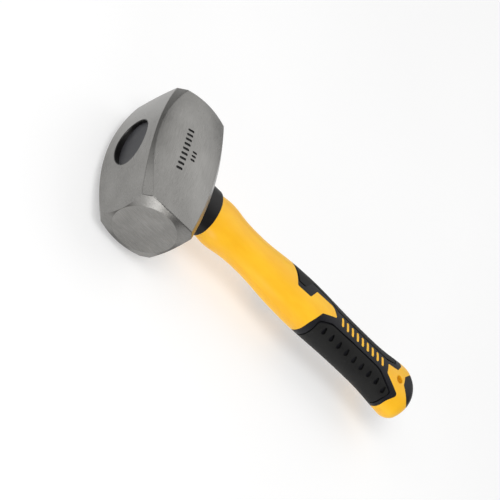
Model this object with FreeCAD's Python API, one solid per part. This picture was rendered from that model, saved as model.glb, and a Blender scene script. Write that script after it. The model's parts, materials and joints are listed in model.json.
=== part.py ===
"""Club hammer: a double-faced forged head on a fibreglass handle with a moulded grip.

The hammer lies on one cheek. +X runs along the handle towards the top of the head,
+Y points out of one striking face and +Z points up, out of the upper cheek.
The pieces are built around the centre of the eye, the oval hole through the head.
They are shifted at the end, so that the origin is under the middle of the hammer.
All sizes are in millimetres. A station is a distance from the eye towards the butt,
so a point at a station s has x = -s.
"""
import math
import os

import FreeCAD
import Part

Vector = FreeCAD.Vector
EYE = Vector(0, 0, 0)
ACROSS = Vector(0, 1, 0)
UP = Vector(0, 0, 1)

# Head: every side bows, so it is thickest at the eye and thinner at the gauge lines
face_to_face = 101.4
gauge = 44.3                  # distance of the gauge lines from the eye, along Y
top_reach = 30.8              # eye to the top of the head
underside_reach = 26.6        # eye to the underside
gauge_reach = 23.5            # both of them at the gauge lines
cheek_reach = 28.8
cheek_gauge_reach = 25.1
cheek_crown_radius = 82.7     # curve of a cheek across X
top_corner_reach = 37.3       # eye to the long corner bevels
underside_corner_reach = 33.3
corner_gauge_reach = 29.4
strike_face_radius = 20.7
strike_bevel_slope = 2.49     # rise of the end bevel per millimetre along Y
head_edge_radius = 0.8
head_clearance = 60           # half-size of the blocks that the head is cut from

# Eye: an oval that is waisted inside the head
eye_stations = ((-36, 19.4, 13.3), (0, 17.7, 11.8), (32, 17.8, 12.6))
eye_rim_radius = 0.6

# Stamped bars on the upper cheek
stamp_depth = 0.4
stamp_lean = 14               # degrees
stamp_rows = (                # x, first y, bars, pitch, length, width
    (9.0, -14.5, 9, 4.1, 5.0, 1.9),
    (2.0, -0.5, 3, 3.2, 3.6, 1.6),
)

# Core, resin and collar
core_half_width = 11.0
core_half_thickness = 7.5
core_top = 22.0
core_bottom_station = 226.0
resin_top = 26.9
resin_dish = 0.7
resin_dish_radius = 190
plug_top = -20.0
collar_half_width = 19.1
collar_half_thickness = 14.0
collar_station = 42.3
collar_rim_radius = 1.0

# Handle: station, half-width along Y and half-thickness along Z
handle_stations = (
    (42.3, 16.9, 13.5),
    (49.0, 17.7, 14.2),
    (56.0, 17.8, 14.2),
    (66.0, 16.1, 13.3),
    (79.0, 15.1, 12.7),
    (94.5, 15.6, 12.8),
    (110.3, 17.5, 13.7),
    (126.0, 18.6, 14.4),
    (140.0, 19.0, 14.7),
    (157.5, 18.6, 14.4),
    (173.0, 18.1, 13.9),
    (200.0, 17.8, 13.7),
    (217.0, 18.7, 13.7),
    (236.0, 21.7, 14.0),
    (248.0, 22.3, 14.1),
    (262.0, 22.3, 14.1),
)
butt_station = 254.0
butt_radius = 33.0
butt_edge_radius = 10.0

# Grip: depths of its layers under the surface of the handle
sleeve_depth = 3.0
pad_depth = 1.6
pad_groove = 1.0
butt_pad_depth = 2.5
outline_reach = 30            # outlines run past the sides of the handle to here

# Slots through the pads, in four rows around the grip
slot_count = 9
slot_first_station = 157.7
slot_pitch = 8.27
slot_length = 5.4
slot_radii = (0.95, 1.7)      # narrow end, wide end
slot_depth = 2.2
slot_y = 13.8
slot_z = 9.1
slot_tilt = 44                # degrees between a slot's axis and +Y
last_slot_step = 1.8          # the last slot of a row stands further out

# Slanted raised bars along the middle of the grip
bar_count = 9
bar_first_station = 168.3
bar_pitch = 5.6
bar_length = 6.6
bar_width = 2.2
bar_middle_y = 0.0
bar_lean = 14                 # degrees

# Hanging hole
hang_station = 233.0
hang_y = 1.2
hang_radius = 2.8
hang_lip_radius = 0.5

# Outlines on the cheek of the grip as (station, y, corner radius)
sleeve_outline = (
    (114.5, -outline_reach, 0),
    (114.5, -12.0, 4),
    (121.0, 4.2, 1.5),
    (134.2, 4.1, 1.5),
    (138.6, -3.6, 2),
    (157.0, -4.8, 4),
    (161.8, 1.2, 1),
    (148.6, 7.0, 1.5),
    (143.6, 17.0, 6),
    (143.4, outline_reach, 0),
    (230.6, outline_reach, 0),
    (230.6, 19.0, 4),
    (236.0, 12.6, 2),
    (220.2, 4.6, 1.5),
    (219.3, -2.6, 1),
    (230.0, -4.8, 2),
    (234.6, -12.5, 3),
    (234.6, -outline_reach, 0),
)
front_pad_outline = (
    (149.9, outline_reach, 0),
    (149.9, 12.9, 3),
    (161.0, 8.0, 10),
    (183.0, 7.0, 40),
    (212.0, 7.0, 20),
    (229.2, 14.6, 2),
    (226.8, 19.5, 4),
    (226.8, outline_reach, 0),
)
back_pad_outline = (
    (117.2, -outline_reach, 0),
    (117.2, -9.5, 3),
    (121.6, 0.2, 1.5),
    (128.5, 0.0, 3),
    (134.5, -8.7, 3),
    (154.0, -8.9, 5),
    (163.0, -6.0, 6),
    (216.5, -5.8, 6),
    (226.5, -9.0, 3),
    (228.2, -14.0, 4),
    (228.2, -outline_reach, 0),
)
butt_pad_outline = (
    (237.8, -4.4, 1.5),
    (245.0, -12.4, 6),
    (270.0, -12.4, 0),
    (270.0, 12.4, 0),
    (246.0, 12.4, 6),
    (237.8, 2.8, 1.5),
)


def common_of(shapes):
    """Overlap of all the shapes."""
    result = shapes[0]
    for shape in shapes[1:]:
        result = result.common(shape)
    return result


def bow(middle, end, y):
    """Reach at y of an arc that reaches `middle` at the eye and `end` at the gauge lines."""
    drop = middle - end
    radius = (gauge ** 2 + drop ** 2) / (2 * drop)
    return middle - radius + math.sqrt(radius ** 2 - y ** 2)


def bow_arc(middle, end, place):
    """Arc along Y of that bow, where place turns (reach, y) into a point."""
    ends = bow(middle, end, head_clearance)
    return Part.Arc(
        place(ends, -head_clearance),
        place(middle, 0),
        place(ends, head_clearance),
    ).toShape()


def bowed_slab(upper, lower, end, turn):
    """Slab with a bowed face on its +X and -X sides, turned about Y by turn degrees."""
    top = bow_arc(upper, end, lambda reach, y: Vector(reach, y, -head_clearance))
    bottom = bow_arc(lower, end, lambda reach, y: Vector(-reach, y, -head_clearance))
    sides = [
        Part.makeLine(top.Vertexes[index].Point, bottom.Vertexes[index].Point)
        for index in (0, 1)
    ]
    outline = Part.Wire(Part.__sortEdges__([top, bottom] + sides))
    slab = Part.Face(outline).extrude(UP * (2 * head_clearance))
    slab.rotate(EYE, ACROSS, turn)
    return slab


def cheek_barrel(side, depth=0):
    """Barrel whose outside is one cheek, set in from it by depth; side is +1 or -1."""
    axis_z = side * (cheek_reach - cheek_crown_radius)
    arc = bow_arc(
        cheek_reach - depth,
        cheek_gauge_reach - depth,
        lambda reach, y: Vector(0, y, side * reach),
    )
    axis_ends = [Vector(0, vertex.Point.y, axis_z) for vertex in arc.Vertexes]
    edges = [
        arc,
        Part.makeLine(arc.Vertexes[1].Point, axis_ends[1]),
        Part.makeLine(axis_ends[1], axis_ends[0]),
        Part.makeLine(axis_ends[0], arc.Vertexes[0].Point),
    ]
    barrel = Part.Face(Part.Wire(edges)).revolve(axis_ends[0], ACROSS, 360)
    barrel.rotate(axis_ends[0], ACROSS, 180)    # its seam is turned out of the head
    return barrel


def end_bevels():
    """Round solid between the striking faces, coned at both ends, with its seam at a corner."""
    face_y = face_to_face / 2
    cone_y = face_y - (head_clearance - strike_face_radius) / strike_bevel_slope
    outline = Part.makePolygon([
        Vector(0, -face_y, 0),
        Vector(strike_face_radius, -face_y, 0),
        Vector(head_clearance, -cone_y, 0),
        Vector(head_clearance, cone_y, 0),
        Vector(strike_face_radius, face_y, 0),
        Vector(0, face_y, 0),
        Vector(0, -face_y, 0),
    ])
    bevels = Part.Face(outline).revolve(EYE, ACROSS, 360)
    bevels.rotate(EYE, ACROSS, 45)
    return bevels


def oval(x, half_width, half_thickness):
    """Oval wire square to the handle at x."""
    ellipse = Part.Ellipse(
        Vector(x, half_width, 0),
        Vector(x, 0, half_thickness),
        Vector(x, 0, 0),
    )
    return Part.Wire(ellipse.toShape())


def oval_rod(x_top, x_bottom, half_width, half_thickness):
    """Straight oval rod along X."""
    face = Part.Face(oval(x_bottom, half_width, half_thickness))
    return face.extrude(Vector(x_top - x_bottom, 0, 0))


def eye_solid():
    """Solid that fills the eye and stands out of it at both ends."""
    return Part.makeLoft([oval(-s, width, depth) for s, width, depth in eye_stations], True)


def box_between(x_low, x_high):
    """Block around the head between two planes square to the handle."""
    size = 2 * head_clearance
    corner = Vector(x_low, -head_clearance, -head_clearance)
    return Part.makeBox(x_high - x_low, size, size, corner)


def leaning_bar(x, y, size_x, size_y, lean, bottom, top):
    """Upright prism on a leaning bar with rounded corners, with its middle at x, y."""
    radius = 0.45 * min(size_x, size_y)
    corners = [
        (side_x * size_x / 2, side_y * size_y / 2, radius)
        for side_x, side_y in ((-1, -1), (1, -1), (1, 1), (-1, 1))
    ]
    bar = rounded_prism(corners, bottom, top)
    bar.rotate(EYE, UP, lean)
    bar.translate(Vector(x, y, 0))
    return bar


def stamp():
    """Slanted bars sunk into the upper cheek."""
    bars = []
    for x, first_y, count, pitch, length, width in stamp_rows:
        for index in range(count):
            y = first_y + index * pitch
            bars.append(leaning_bar(x, y, length, width, stamp_lean, 0, 2 * cheek_reach))
    return Part.makeCompound(bars).cut(cheek_barrel(1, stamp_depth))


def edges_inside(shape, x_low, x_high, reach):
    """Edges of the shape between two x values and within reach of the handle's axis."""
    chosen = []
    for edge in shape.Edges:
        box = edge.BoundBox
        if box.XMin > x_low and box.XMax < x_high and box.YMax < reach and box.YMin > -reach:
            chosen.append(edge)
    return chosen


def make_head():
    """Forged head: bowed and crowned on every side, with bevelled edges and an eye."""
    blank = common_of([
        bowed_slab(top_reach, underside_reach, gauge_reach, 0),
        bowed_slab(top_corner_reach, underside_corner_reach, corner_gauge_reach, 45),
        bowed_slab(top_corner_reach, underside_corner_reach, corner_gauge_reach, -45),
        cheek_barrel(1),
        cheek_barrel(-1),
        end_bevels(),
    ])
    blank = blank.makeFillet(head_edge_radius, blank.Edges)
    head = blank.cut(eye_solid())
    rim = edges_inside(head, top_reach - 3, top_reach + 1, 20.5)
    head = head.makeFillet(eye_rim_radius, rim)
    return head.cut(stamp())


def make_core():
    """Fibreglass rod that carries the head and runs down inside the handle."""
    return oval_rod(core_top, -core_bottom_station, core_half_width, core_half_thickness)


def make_resin(core):
    """Cast resin around the core in the eye, with a shallow dish on top."""
    resin = eye_solid().common(box_between(plug_top, resin_top)).cut(core)
    dish_centre = Vector(resin_top - resin_dish + resin_dish_radius, 0, 0)
    return resin.cut(Part.makeSphere(resin_dish_radius, dish_centre))


def make_collar(head, core):
    """Soft collar under the head, with a plug that closes the bottom of the eye."""
    collar = oval_rod(plug_top, -collar_station, collar_half_width, collar_half_thickness)
    rim = edges_inside(collar, -collar_station - 1, -collar_station + 1, outline_reach)
    return collar.makeFillet(collar_rim_radius, rim).cut(head).cut(core)


def handle_body(inset):
    """Whole moulded handle from the collar to the butt, smaller by inset all round."""
    body = Part.makeLoft(
        [oval(-s, width - inset, depth - inset) for s, width, depth in handle_stations],
        True,
    )
    end_cylinder = Part.makeCylinder(
        butt_radius - inset,
        2 * outline_reach,
        Vector(butt_radius - butt_station, 0, -outline_reach),
        UP,
    )
    straight = box_between(-butt_station + butt_radius, 0)
    body = body.common(end_cylinder.fuse(straight))
    return body.makeFillet(
        butt_edge_radius - inset,
        edges_inside(body, -butt_station - 1, -butt_station + 15, outline_reach),
    )


def rounded_prism(corners, bottom, top):
    """Upright prism on an outline of (x, y, corner radius) points."""
    edges = []
    previous_end = None
    first_start = None
    count = len(corners)
    for index, (x, y, radius) in enumerate(corners):
        corner = Vector(x, y, bottom)
        start = corner
        end = corner
        if radius > 0:
            before = Vector(corners[index - 1][0], corners[index - 1][1], bottom)
            after = Vector(corners[(index + 1) % count][0], corners[(index + 1) % count][1], bottom)
            back = (before - corner).normalize()
            ahead = (after - corner).normalize()
            half_angle = back.getAngle(ahead) / 2
            setback = radius / math.tan(half_angle)
            start = corner + back * setback
            end = corner + ahead * setback
            middle_way = (back + ahead).normalize()
            middle = corner + middle_way * (radius / math.sin(half_angle) - radius)
            arc = Part.Arc(start, middle, end).toShape()
        if previous_end is not None:
            edges.append(Part.makeLine(previous_end, start))
        else:
            first_start = start
        if radius > 0:
            edges.append(arc)
        previous_end = end
    edges.append(Part.makeLine(previous_end, first_start))
    return Part.Face(Part.Wire(edges)).extrude(UP * (top - bottom))


def grip_prism(outline):
    """Prism through both cheeks of the handle on an outline of stations."""
    corners = [(-s, y, radius) for s, y, radius in outline]
    return rounded_prism(corners, -outline_reach, outline_reach)


def grown(outline, middle_y, amount):
    """Pad outline moved outwards by amount, away from its middle."""
    stations = [s for s, y, radius in outline]
    middle_s = (min(stations) + max(stations)) / 2
    moved = []
    for s, y, radius in outline:
        step_s = math.copysign(amount, s - middle_s)
        step_y = math.copysign(amount, y - middle_y)
        moved.append((s + step_s, y + step_y, radius))
    return moved


def raised_bars():
    """Slanted bars through both cheeks, along the middle of the grip."""
    bars = []
    for index in range(bar_count):
        x = -(bar_first_station + index * bar_pitch)
        bar = leaning_bar(
            x, bar_middle_y, bar_width, bar_length, bar_lean, -outline_reach, outline_reach
        )
        bars.append(bar)
    return Part.makeCompound(bars)


def slot_cutter():
    """Upright teardrop prism, long on Y, with its wide end towards +Y."""
    narrow, wide = slot_radii
    narrow_centre = Vector(0, narrow - slot_length / 2, -slot_depth)
    wide_centre = Vector(0, slot_length / 2 - wide, -slot_depth)
    lean = math.asin((wide - narrow) / (wide_centre.y - narrow_centre.y))
    side = Vector(math.cos(lean), -math.sin(lean), 0)
    mirror = Vector(-side.x, side.y, 0)
    edges = [
        Part.Arc(
            wide_centre + side * wide,
            wide_centre + ACROSS * wide,
            wide_centre + mirror * wide,
        ).toShape(),
        Part.makeLine(wide_centre + mirror * wide, narrow_centre + mirror * narrow),
        Part.Arc(
            narrow_centre + mirror * narrow,
            narrow_centre - ACROSS * narrow,
            narrow_centre + side * narrow,
        ).toShape(),
        Part.makeLine(narrow_centre + side * narrow, wide_centre + side * wide),
    ]
    return Part.Face(Part.Wire(edges)).extrude(UP * (slot_depth + 4))


def slots(y_side):
    """Both rows of slots on one side of the grip; y_side is +1 or -1."""
    cutters = []
    for z_side in (1, -1):
        for index in range(slot_count):
            step = last_slot_step if index == slot_count - 1 else 0
            cutter = slot_cutter()
            cutter.rotate(EYE, Vector(1, 0, 0), slot_tilt - 90)
            cutter.translate(Vector(0, slot_y + step, slot_z))
            if y_side < 0:
                cutter = cutter.mirror(EYE, ACROSS)
            if z_side < 0:
                cutter = cutter.mirror(EYE, UP)
            cutter.translate(Vector(-(slot_first_station + index * slot_pitch), 0, 0))
            cutters.append(cutter)
    return Part.makeCompound(cutters)


def make_butt_pad(body):
    """Soft pad wrapped over the end of the handle."""
    skin = body.cut(handle_body(butt_pad_depth))
    return skin.common(grip_prism(butt_pad_outline))


def sleeve_recess(body):
    """Outer layer of the handle that the grip fills, without the raised bars."""
    skin = body.cut(handle_body(sleeve_depth))
    return skin.common(grip_prism(sleeve_outline)).cut(raised_bars())


def make_grip(body, recess):
    """Grip sleeve and the two pads set into it, with a groove around each pad."""
    sleeve = recess
    pad_skin = body.cut(handle_body(pad_depth))
    pads = []
    for outline, y_side in ((front_pad_outline, 1), (back_pad_outline, -1)):
        pocket = pad_skin.common(grip_prism(grown(outline, y_side * outline_reach, pad_groove)))
        side_slots = slots(y_side)
        sleeve = sleeve.cut(pocket).cut(side_slots)
        pads.append(pad_skin.common(grip_prism(outline)).cut(side_slots))
    return sleeve, pads[0], pads[1]


def make_jacket(body, core, recess, butt_pad):
    """Moulded plastic handle around the core, with recesses and a hanging hole."""
    hole = Part.makeCylinder(
        hang_radius,
        2 * outline_reach,
        Vector(-hang_station, hang_y, -outline_reach),
        UP,
    )
    jacket = body.cut(core).cut(recess).cut(butt_pad).cut(hole)
    reach = hang_radius + 0.3
    lips = edges_inside(jacket, -hang_station - reach, -hang_station + reach, hang_y + reach)
    return jacket.makeFillet(hang_lip_radius, lips)


def main():
    head = make_head()
    core = make_core()
    resin = make_resin(core)
    collar = make_collar(head, core)
    body = handle_body(0)
    butt_pad = make_butt_pad(body)
    recess = sleeve_recess(body)
    sleeve, front_pad, back_pad = make_grip(body, recess)
    jacket = make_jacket(body, core, recess, butt_pad)
    pieces = {
        "head": head,
        "handle_core": core,
        "eye_resin": resin,
        "neck_collar": collar,
        "handle_jacket": jacket,
        "grip_sleeve": sleeve,
        "grip_pad_front": front_pad,
        "grip_pad_back": back_pad,
        "butt_pad": butt_pad,
    }
    shift = Vector((butt_station - top_reach) / 2, 0, cheek_reach)
    os.makedirs("parts", exist_ok=True)
    for name, shape in pieces.items():
        shape.translate(shift)
        shape.exportStep(f"parts/{name}.step")


main()
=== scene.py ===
"""Looks for the club hammer: materials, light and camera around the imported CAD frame."""

import json
import math

import bpy
from mathutils import Matrix, Vector


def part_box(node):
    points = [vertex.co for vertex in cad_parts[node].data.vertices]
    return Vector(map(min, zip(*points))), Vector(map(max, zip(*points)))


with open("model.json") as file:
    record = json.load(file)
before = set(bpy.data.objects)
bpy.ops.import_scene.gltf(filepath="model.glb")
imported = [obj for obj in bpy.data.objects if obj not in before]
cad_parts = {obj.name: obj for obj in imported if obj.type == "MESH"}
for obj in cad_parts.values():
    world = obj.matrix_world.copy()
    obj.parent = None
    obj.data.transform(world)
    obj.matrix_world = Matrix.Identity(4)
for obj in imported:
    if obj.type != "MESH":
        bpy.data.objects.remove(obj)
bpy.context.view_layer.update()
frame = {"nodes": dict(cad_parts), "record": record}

MM = 0.001

# Places taken from the frame
_, head_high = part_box("head")
strike_face = frame["record"]["mounts"][0]
eye = Vector(strike_face["pos_m"])
eye.y = 0.0
handle_z = eye.z

# Camera: direction from the hammer towards it, and its turn about its own axis
camera_azimuth = math.radians(53.77)
camera_elevation = math.radians(35.37)
camera_roll = math.radians(66.85)
camera_aim = eye + Vector((-64.3, 25.0, 25.1)) * MM
camera_distance = 1.133
camera_lens = 129.85
camera_sensor = 36.0

# Crown of the upper cheek, for the dark stamp
cheek_reach = head_high.z - eye.z
crown_radius = 82.7 * MM
bow_drop = 3.7 * MM
bow_gauge = 44.3 * MM
bow_radius = (bow_gauge ** 2 + bow_drop ** 2) / (2 * bow_drop)
stamp_offset = 6 * MM             # from the eye's centre along the handle
stamp_half_length = 8 * MM
stamp_half_width = 23 * MM
stamp_floor = 20 * MM             # the stamp is higher than this above the eye's centre

# Mouth of the eye, for the painted shade on its wall
eye_half_width = 19.3 * MM
eye_half_thickness = 13.2 * MM

floor_half_size = 3.0


# --- node helpers ---------------------------------------------------------------

class Nodes:
    """Small wrapper that adds and links shader nodes of one material."""

    def __init__(self, name):
        self.material = bpy.data.materials.new(name)
        self.material.use_nodes = True
        self.tree = self.material.node_tree
        self.shader = self.tree.nodes["Principled BSDF"]
        self.coordinates = self.tree.nodes.new("ShaderNodeTexCoord")

    def link(self, source, socket):
        self.tree.links.new(source, socket)

    def feed(self, value, socket):
        if isinstance(value, (int, float)):
            socket.default_value = value
        else:
            self.link(value, socket)

    def math(self, operation, first, second=0.0):
        node = self.tree.nodes.new("ShaderNodeMath")
        node.operation = operation
        self.feed(first, node.inputs[0])
        self.feed(second, node.inputs[1])
        return node.outputs[0]

    def stretched(self, scale):
        """Object coordinates multiplied by a scale per axis."""
        node = self.tree.nodes.new("ShaderNodeMapping")
        node.inputs["Scale"].default_value = scale
        self.link(self.coordinates.outputs["Object"], node.inputs["Vector"])
        return node.outputs[0]

    def noise(self, scale, detail=3.0, roughness=0.5):
        """Noise over object coordinates; scale is features per metre along each axis."""
        node = self.tree.nodes.new("ShaderNodeTexNoise")
        node.inputs["Scale"].default_value = 1.0
        node.inputs["Detail"].default_value = detail
        node.inputs["Roughness"].default_value = roughness
        self.link(self.stretched(scale), node.inputs["Vector"])
        return node.outputs["Fac"]

    def cells(self, scale):
        node = self.tree.nodes.new("ShaderNodeTexVoronoi")
        node.inputs["Scale"].default_value = 1.0
        self.link(self.stretched(scale), node.inputs["Vector"])
        return node.outputs["Distance"]

    def ramp(self, value, low, high, start=0.0, end=1.0):
        """Smooth step of value from low to high, mapped to start and end."""
        node = self.tree.nodes.new("ShaderNodeMapRange")
        node.interpolation_type = "SMOOTHSTEP"
        node.inputs["From Min"].default_value = low
        node.inputs["From Max"].default_value = high
        node.inputs["To Min"].default_value = start
        node.inputs["To Max"].default_value = end
        self.feed(value, node.inputs["Value"])
        return node.outputs["Result"]

    def blend(self, amount, first, second):
        """Mix of two colours, each a tuple or a socket."""
        node = self.tree.nodes.new("ShaderNodeMix")
        node.data_type = "RGBA"
        self.feed(amount, node.inputs[0])
        for value, socket in ((first, node.inputs[6]), (second, node.inputs[7])):
            if isinstance(value, tuple):
                socket.default_value = (*value, 1.0)
            else:
                self.link(value, socket)
        return node.outputs[2]

    def position(self):
        node = self.tree.nodes.new("ShaderNodeSeparateXYZ")
        self.link(self.coordinates.outputs["Object"], node.inputs[0])
        return node.outputs

    def normal(self):
        node = self.tree.nodes.new("ShaderNodeSeparateXYZ")
        self.link(self.coordinates.outputs["Normal"], node.inputs[0])
        return node.outputs

    def bump(self, layers):
        """Stack of bumps from (height socket, strength, depth in metres)."""
        previous = None
        for height, strength, depth in layers:
            node = self.tree.nodes.new("ShaderNodeBump")
            node.inputs["Strength"].default_value = strength
            node.inputs["Distance"].default_value = depth
            self.link(height, node.inputs["Height"])
            if previous is not None:
                self.link(previous, node.inputs["Normal"])
            previous = node.outputs["Normal"]
        self.link(previous, self.shader.inputs["Normal"])

    def output(self, **sockets):
        """Feeds the shader's sockets; underscores stand for spaces."""
        for name, value in sockets.items():
            socket = self.shader.inputs[name.replace("_", " ")]
            if isinstance(value, tuple):
                socket.default_value = (*value, 1.0)
            else:
                self.feed(value, socket)


# --- materials ------------------------------------------------------------------

def stamp_mask(nodes):
    """1 in the sunk marks of the upper cheek, 0 elsewhere."""
    x, y, z = nodes.position()
    along = nodes.math("SUBTRACT", x, eye.x)
    up = nodes.math("SUBTRACT", z, eye.z + cheek_reach - crown_radius)
    squares = nodes.math("ADD", nodes.math("POWER", along, 2.0), nodes.math("POWER", up, 2.0))
    reach = nodes.math("SQRT", squares)
    drop = nodes.math("DIVIDE", nodes.math("POWER", y, 2.0), 2 * bow_radius)
    surface = nodes.math("SUBTRACT", crown_radius, drop)
    depth = nodes.math("SUBTRACT", surface, reach)
    sunk = nodes.ramp(depth, 0.06 * MM, 0.3 * MM)
    off_middle = nodes.math("ABSOLUTE", nodes.math("SUBTRACT", along, stamp_offset))
    near_x = nodes.math("LESS_THAN", off_middle, stamp_half_length)
    near_y = nodes.math("LESS_THAN", nodes.math("ABSOLUTE", y), stamp_half_width)
    above = nodes.math("GREATER_THAN", z, eye.z + stamp_floor)
    zone = nodes.math("MULTIPLY", nodes.math("MULTIPLY", near_x, near_y), above)
    return nodes.math("MULTIPLY", sunk, zone)


def eye_wall_painted_shade_mask(nodes):
    """1 on the wall of the eye above the resin, where shade is painted; 0 elsewhere."""
    x, y, z = nodes.position()
    across = nodes.math("POWER", nodes.math("DIVIDE", y, eye_half_width), 2.0)
    up = nodes.math("DIVIDE", nodes.math("SUBTRACT", z, eye.z), eye_half_thickness)
    oval = nodes.math("ADD", across, nodes.math("POWER", up, 2.0))
    return nodes.ramp(oval, 1.0, 1.07, 1.0, 0.0)


def bevel_painted_shade_mask(nodes):
    """Painted shade on the coned bevels round the striking faces: nearly 1 on them, low towards
    their corners, which stay bright as a painted highlight.
    """
    normal_x, normal_y, normal_z = nodes.normal()
    steep = nodes.math("ABSOLUTE", normal_y)
    past_sides = nodes.ramp(steep, 0.80, 0.90)
    short_of_face = nodes.ramp(steep, 0.95, 0.985, 1.0, 0.0)
    on_cone = nodes.math("MULTIPLY", past_sides, short_of_face)
    # Near the corners the painted shade fades, which leaves a painted highlight there.
    to_corner = nodes.math("ABSOLUTE", nodes.math("MULTIPLY", normal_x, normal_z))
    return nodes.math("MULTIPLY", on_cone, nodes.ramp(to_corner, 0.03, 0.068, 0.85, 0.1))


def ground_steel():
    """Forged steel with ground faces, and end bevels darkened by painted shade, their corners kept
    bright as a painted highlight.

    The grinding lines run along Y, and across X on the striking faces.
    """
    nodes = Nodes("ground_steel")
    normal_y = nodes.normal()[1]
    on_strike = nodes.ramp(nodes.math("ABSOLUTE", normal_y), 0.5, 0.75)
    side_grain = nodes.noise((2600, 90, 2600), 4.0, 0.6)
    strike_grain = nodes.noise((160, 900, 2600), 4.0, 0.6)
    off_strike = nodes.math("SUBTRACT", 1.0, on_strike)
    grain = nodes.math(
        "ADD",
        nodes.math("MULTIPLY", side_grain, off_strike),
        nodes.math("MULTIPLY", strike_grain, on_strike),
    )
    fine = nodes.noise((5200, 5200, 5200), 2.0)
    cloud = nodes.noise((45, 30, 45), 3.0)
    scratches = nodes.ramp(nodes.noise((1500, 28, 1500), 1.0), 0.66, 0.74)
    tone = nodes.math("ADD", nodes.math("MULTIPLY", grain, 0.5), nodes.math("MULTIPLY", cloud, 0.5))
    colour = nodes.blend(
        nodes.ramp(tone, 0.3, 0.7), (0.199, 0.195, 0.186), (0.306, 0.300, 0.288)
    )
    # Painted shade and dark reflection on the end bevels; their corners stay bright as a painted
    # highlight.
    colour = nodes.blend(bevel_painted_shade_mask(nodes), colour, (0.085, 0.082, 0.077))
    mask = stamp_mask(nodes)
    colour = nodes.blend(mask, colour, (0.03, 0.03, 0.03))
    # Painted shade on the recessed wall of the eye above the resin.
    colour = nodes.blend(eye_wall_painted_shade_mask(nodes), colour, (0.045, 0.044, 0.043))
    polish = nodes.math(
        "ADD", nodes.math("MULTIPLY", grain, 0.6), nodes.math("MULTIPLY", cloud, 0.4)
    )
    rough = nodes.ramp(polish, 0.3, 0.7, 0.27, 0.38)
    rough = nodes.math("SUBTRACT", rough, nodes.math("MULTIPLY", scratches, 0.08))
    rough = nodes.math("ADD", rough, nodes.math("MULTIPLY", mask, 0.3))
    nodes.output(Base_Color=colour, Roughness=rough, Metallic=0.92)
    nodes.bump([
        (grain, 0.22, 0.05 * MM),
        (fine, 0.10, 0.03 * MM),
        (scratches, 0.05, 0.02 * MM),
    ])
    return nodes.material


def cast_resin():
    """Dark grey epoxy with a faintly grainy, half-dull skin."""
    nodes = Nodes("cast_resin")
    grain = nodes.noise((1400, 1400, 1400), 4.0, 0.6)
    cloud = nodes.noise((120, 90, 120), 3.0)
    tone = nodes.math("ADD", nodes.math("MULTIPLY", grain, 0.4), nodes.math("MULTIPLY", cloud, 0.6))
    colour = nodes.blend(nodes.ramp(tone, 0.3, 0.7), (0.030, 0.030, 0.034), (0.060, 0.061, 0.067))
    nodes.output(Base_Color=colour, Roughness=nodes.ramp(cloud, 0.3, 0.7, 0.42, 0.6))
    nodes.bump([(cloud, 0.25, 0.3 * MM), (grain, 0.2, 0.08 * MM)])
    return nodes.material


def bare_fibreglass():
    """Pultruded rod: glass strands along X under a honey-coloured resin."""
    nodes = Nodes("bare_fibreglass")
    strands = nodes.noise((40, 2200, 2200), 3.0)
    colour = nodes.blend(nodes.ramp(strands, 0.3, 0.7), (0.55, 0.42, 0.18), (0.78, 0.68, 0.42))
    nodes.output(Base_Color=colour, Roughness=nodes.ramp(strands, 0.3, 0.7, 0.4, 0.6))
    nodes.bump([(strands, 0.3, 0.06 * MM)])
    return nodes.material


def moulded_jacket():
    """Yellow plastic with a fine moulded skin, flow marks and a parting line."""
    nodes = Nodes("moulded_jacket")
    x, y, z = nodes.position()
    skin = nodes.noise((1500, 1500, 1500), 3.0)
    flow = nodes.noise((35, 120, 120), 3.0)
    cloud = nodes.noise((22, 40, 40), 2.0)
    speck = nodes.ramp(nodes.cells((420, 420, 420)), 0.05, 0.14, 1.0, 0.0)
    off_plane = nodes.math("ABSOLUTE", nodes.math("SUBTRACT", z, handle_z))
    seam = nodes.ramp(off_plane, 0.10 * MM, 0.45 * MM, 1.0, 0.0)
    tone = nodes.math("ADD", nodes.math("MULTIPLY", flow, 0.5), nodes.math("MULTIPLY", cloud, 0.5))
    colour = nodes.blend(nodes.ramp(tone, 0.3, 0.7), (0.93, 0.47, 0.012), (0.99, 0.56, 0.022))
    colour = nodes.blend(nodes.math("MULTIPLY", speck, 0.10), colour, (0.80, 0.40, 0.03))
    rough = nodes.ramp(tone, 0.3, 0.7, 0.34, 0.46)
    nodes.output(
        Base_Color=colour,
        Roughness=rough,
        Specular_IOR_Level=0.3,
        Subsurface_Weight=0.04,
        Subsurface_Scale=0.002,
    )
    nodes.bump([(skin, 0.16, 0.06 * MM), (seam, 0.5, 0.12 * MM), (flow, 0.08, 0.2 * MM)])
    return nodes.material


def soft_rubber(name, dark, light, rough_low, rough_high, grain_scale, depth):
    """Soft elastomer with a fine spark-eroded grain."""
    nodes = Nodes(name)
    grain = nodes.cells((grain_scale, grain_scale, grain_scale))
    fine = nodes.noise((2600, 2600, 2600), 3.0)
    cloud = nodes.noise((60, 90, 90), 3.0)
    tone = nodes.math("ADD", nodes.math("MULTIPLY", fine, 0.4), nodes.math("MULTIPLY", cloud, 0.6))
    colour = nodes.blend(nodes.ramp(tone, 0.3, 0.7), dark, light)
    dust = nodes.ramp(nodes.noise((700, 700, 700), 2.0), 0.68, 0.78)
    colour = nodes.blend(nodes.math("MULTIPLY", dust, 0.18), colour, (0.11, 0.108, 0.10))
    nodes.output(
        Base_Color=colour,
        Roughness=nodes.ramp(tone, 0.3, 0.7, rough_low, rough_high),
        Specular_IOR_Level=0.2,
    )
    nodes.bump([(grain, 0.28, depth), (fine, 0.15, 0.05 * MM)])
    return nodes.material


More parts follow.
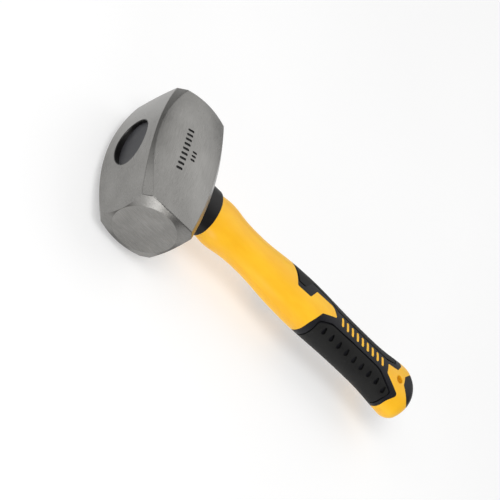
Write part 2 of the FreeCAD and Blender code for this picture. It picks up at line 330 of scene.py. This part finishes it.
def pale_floor():
    """Plain pale surface with a barely uneven tone."""
    nodes = Nodes("pale_floor")
    cloud = nodes.noise((3, 3, 3), 2.0)
    colour = nodes.blend(nodes.ramp(cloud, 0.3, 0.7), (0.60, 0.60, 0.60), (0.62, 0.62, 0.62))
    nodes.output(
        Base_Color=colour,
        Roughness=0.95,
        Specular_IOR_Level=0.1,
        Emission_Color=(1.0, 1.0, 1.0),
        Emission_Strength=0.41,
    )
    return nodes.material


def dress(node, material):
    """Gives a CAD node its material."""
    mesh = frame["nodes"][node].data
    mesh.materials.clear()
    mesh.materials.append(material)


def dress_all():
    border = soft_rubber(
        "grip_border", (0.006, 0.006, 0.008), (0.011, 0.011, 0.014), 0.38, 0.52, 2400, 0.05 * MM
    )
    pad = soft_rubber(
        "grip_pad", (0.007, 0.007, 0.007), (0.013, 0.013, 0.0125), 0.52, 0.68, 1500, 0.10 * MM
    )
    collar = soft_rubber(
        "collar_rubber", (0.004, 0.004, 0.004), (0.008, 0.007, 0.007), 0.34, 0.48, 2400, 0.05 * MM
    )
    dress("head", ground_steel())
    dress("eye_resin", cast_resin())
    dress("handle_core", bare_fibreglass())
    dress("neck_collar", collar)
    dress("handle_jacket", moulded_jacket())
    dress("grip_sleeve", border)
    dress("butt_pad", border)
    dress("grip_pad_front", pad)
    dress("grip_pad_back", pad)


# --- stage ----------------------------------------------------------------------

def add_floor():
    mesh = bpy.data.meshes.new("floor")
    corners = [
        (side_x * floor_half_size, side_y * floor_half_size, 0)
        for side_x, side_y in ((-1, -1), (1, -1), (1, 1), (-1, 1))
    ]
    mesh.from_pydata(corners, [], [(0, 1, 2, 3)])
    floor = bpy.data.objects.new("floor", mesh)
    bpy.context.scene.collection.objects.link(floor)
    floor.data.materials.append(pale_floor())


def camera_axes():
    """Direction from the hammer to the camera, and the camera's rotation."""
    back = Vector((
        math.cos(camera_elevation) * math.cos(camera_azimuth),
        math.cos(camera_elevation) * math.sin(camera_azimuth),
        math.sin(camera_elevation),
    ))
    level = back.to_track_quat("Z", "Y").to_matrix().to_4x4()
    return back, level @ Matrix.Rotation(camera_roll, 4, "Z")


def add_camera():
    back, rotation = camera_axes()
    data = bpy.data.cameras.new("camera")
    data.lens = camera_lens
    data.sensor_width = camera_sensor
    data.clip_start = 0.05
    camera = bpy.data.objects.new("camera", data)
    camera.matrix_world = Matrix.Translation(camera_aim + back * camera_distance) @ rotation
    bpy.context.scene.collection.objects.link(camera)
    bpy.context.scene.camera = camera


def add_softbox(name, direction, distance, size, power):
    """White square area light that faces the hammer from a direction."""
    away = Vector(direction).normalized()
    data = bpy.data.lights.new(name, "AREA")
    data.shape = "SQUARE"
    data.size = size
    data.energy = power
    light = bpy.data.objects.new(name, data)
    turn = away.to_track_quat("Z", "Y").to_matrix().to_4x4()
    light.matrix_world = Matrix.Translation(camera_aim + away * distance) @ turn
    bpy.context.scene.collection.objects.link(light)


def add_world():
    world = bpy.data.worlds.new("studio")
    bpy.context.scene.world = world
    world.use_nodes = True
    background = world.node_tree.nodes["Background"]
    background.inputs["Color"].default_value = (1.0, 1.0, 1.0, 1.0)
    background.inputs["Strength"].default_value = 0.30


def add_lights():
    add_world()
    add_softbox("key", (-0.40, -0.60, 0.70), 1.4, 1.5, 7.2)
    add_softbox("top", (0.35, 0.30, 0.90), 1.3, 0.8, 9.5)
    add_softbox("edge", (-0.10, 1.00, 0.10), 0.9, 0.40, 2.7)
    add_softbox("corner", (0.80, -0.10, 0.58), 1.2, 0.5, 0.7)


dress_all()
add_floor()
add_camera()
add_lights()

bpy.context.scene.view_settings.view_transform = "Standard"
